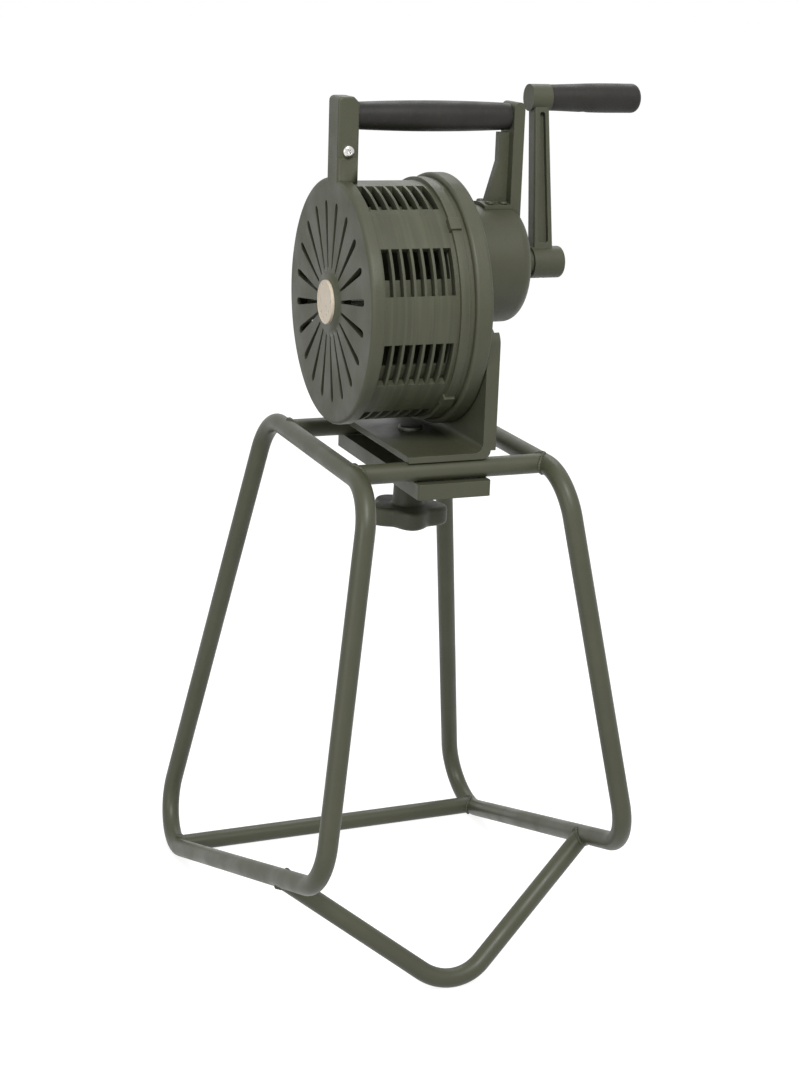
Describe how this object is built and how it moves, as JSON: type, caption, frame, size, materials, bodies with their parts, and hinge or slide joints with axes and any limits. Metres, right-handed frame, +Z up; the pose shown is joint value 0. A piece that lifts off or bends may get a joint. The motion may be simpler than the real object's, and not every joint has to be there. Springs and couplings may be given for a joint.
{
  "type": "hand crank siren",
  "caption": "Hand cranked air raid siren: a ported drum with a geared rotor, side crank and carry handle, clamped to a stand of bent tube.",
  "frame": {"origin": "on the floor under the middle of the stand's deck", "axes": "+Z up, +X along the drum axis from the air intake towards the crank, the stand's V brace towards -Y"},
  "size_m": [0.4351, 0.4828, 0.8613],
  "materials": {
    "stand_paint": "satin olive-green paint on bent steel tube",
    "bracket_paint": "satin olive-green paint on steel plate",
    "knob_paint": "satin olive-green paint on a cast knob",
    "casting_paint": "satin olive-green paint on cast aluminium",
    "rotor_alloy": "grey-green painted cast aluminium",
    "badge": "plain cream enamel",
    "bright_steel": "zinc plated",
    "painted_screw": "steel screws painted over with the castings",
    "steel": "machined steel",
    "bronze": "sintered bronze",
    "grip_black": "matt moulded black"
  },
  "bodies": {
    "stand": {"front_loop": "stand_paint", "rear_loop": "stand_paint", "brace_side_cross_tube": "stand_paint", "foot_side_cross_tube": "stand_paint", "foot_tube": "stand_paint", "v_brace": "stand_paint", "base_bracket": "bracket_paint", "intake_cover": "casting_paint", "stator_drum": "casting_paint", "bearing_plate": "casting_paint", "rear_housing": "casting_paint", "gear_housing": "casting_paint", "handle_front_arm": "casting_paint", "handle_rear_post": "casting_paint", "badge_disc": "badge", "handle_screw": "bright_steel", "clamp_stud": "bright_steel", "cover_screws": "painted_screw", "housing_screws": "painted_screw", "bracket_screws": "painted_screw", "gear_housing_screws": "painted_screw", "rear_post_screws": "painted_screw", "handle_rod": "steel", "front_bearing_outer_ring": "steel", "rear_bearing_outer_ring": "steel", "front_idler_bush": "bronze", "rear_idler_bush": "bronze", "inner_crank_bush": "bronze", "outer_crank_bush": "bronze", "carry_grip": "grip_black"},
    "rotor": {"rotor": "rotor_alloy", "rotor_shaft": "steel", "rotor_pinion": "steel", "front_bearing_inner_ring": "steel", "rear_bearing_inner_ring": "steel"},
    "idler": {"idler_shaft": "steel", "idler_gear": "steel", "idler_pinion": "steel"},
    "crank": {"crank_shaft": "steel", "crank_gear": "steel", "crank_arm": "casting_paint", "crank_set_screw": "painted_screw", "grip_axle": "steel", "grip_retainer": "steel"},
    "grip": {"crank_grip": "grip_black"},
    "tray": {"clamp_tray": "bracket_paint", "knob_washer": "bright_steel"},
    "knob": {"clamp_knob": "knob_paint"}
  },
  "joints": [
    {"name": "rotor_spin", "type": "hinge", "parent": "stand", "child": "rotor", "pos_m": [0, 0, 0.65716], "axis": [1, 0, 0], "continuous": true},
    {"name": "idler_spin", "type": "hinge", "parent": "stand", "child": "idler", "pos_m": [0.03, 0.03683, 0.67734], "axis": [1, 0, 0], "continuous": true},
    {"name": "crank_spin", "type": "hinge", "parent": "stand", "child": "crank", "pos_m": [0.09, 0, 0.69016], "axis": [1, 0, 0], "continuous": true},
    {"name": "crank_grip_spin", "type": "hinge", "parent": "crank", "child": "grip", "pos_m": [0.19, 0.0319, 0.84695], "axis": [1, 0, 0], "continuous": true},
    {"name": "clamp_travel", "type": "slide", "parent": "stand", "child": "tray", "axis": [0, 0, 1], "range_m": [-0.006, 0]},
    {"name": "knob_turn", "type": "hinge", "parent": "tray", "child": "knob", "pos_m": [0, 0, 0.45], "axis": [0, 0, -1], "range_deg": [0, 1441]}
  ],
  "couplings": [
    {"joint": "idler_spin", "follows": "rotor_spin", "ratio": -0.16667},
    {"joint": "crank_spin", "follows": "rotor_spin", "ratio": 0.030303},
    {"joint": "knob_turn", "follows": "clamp_travel", "rad_per_m": -4188.8}
  ]
}
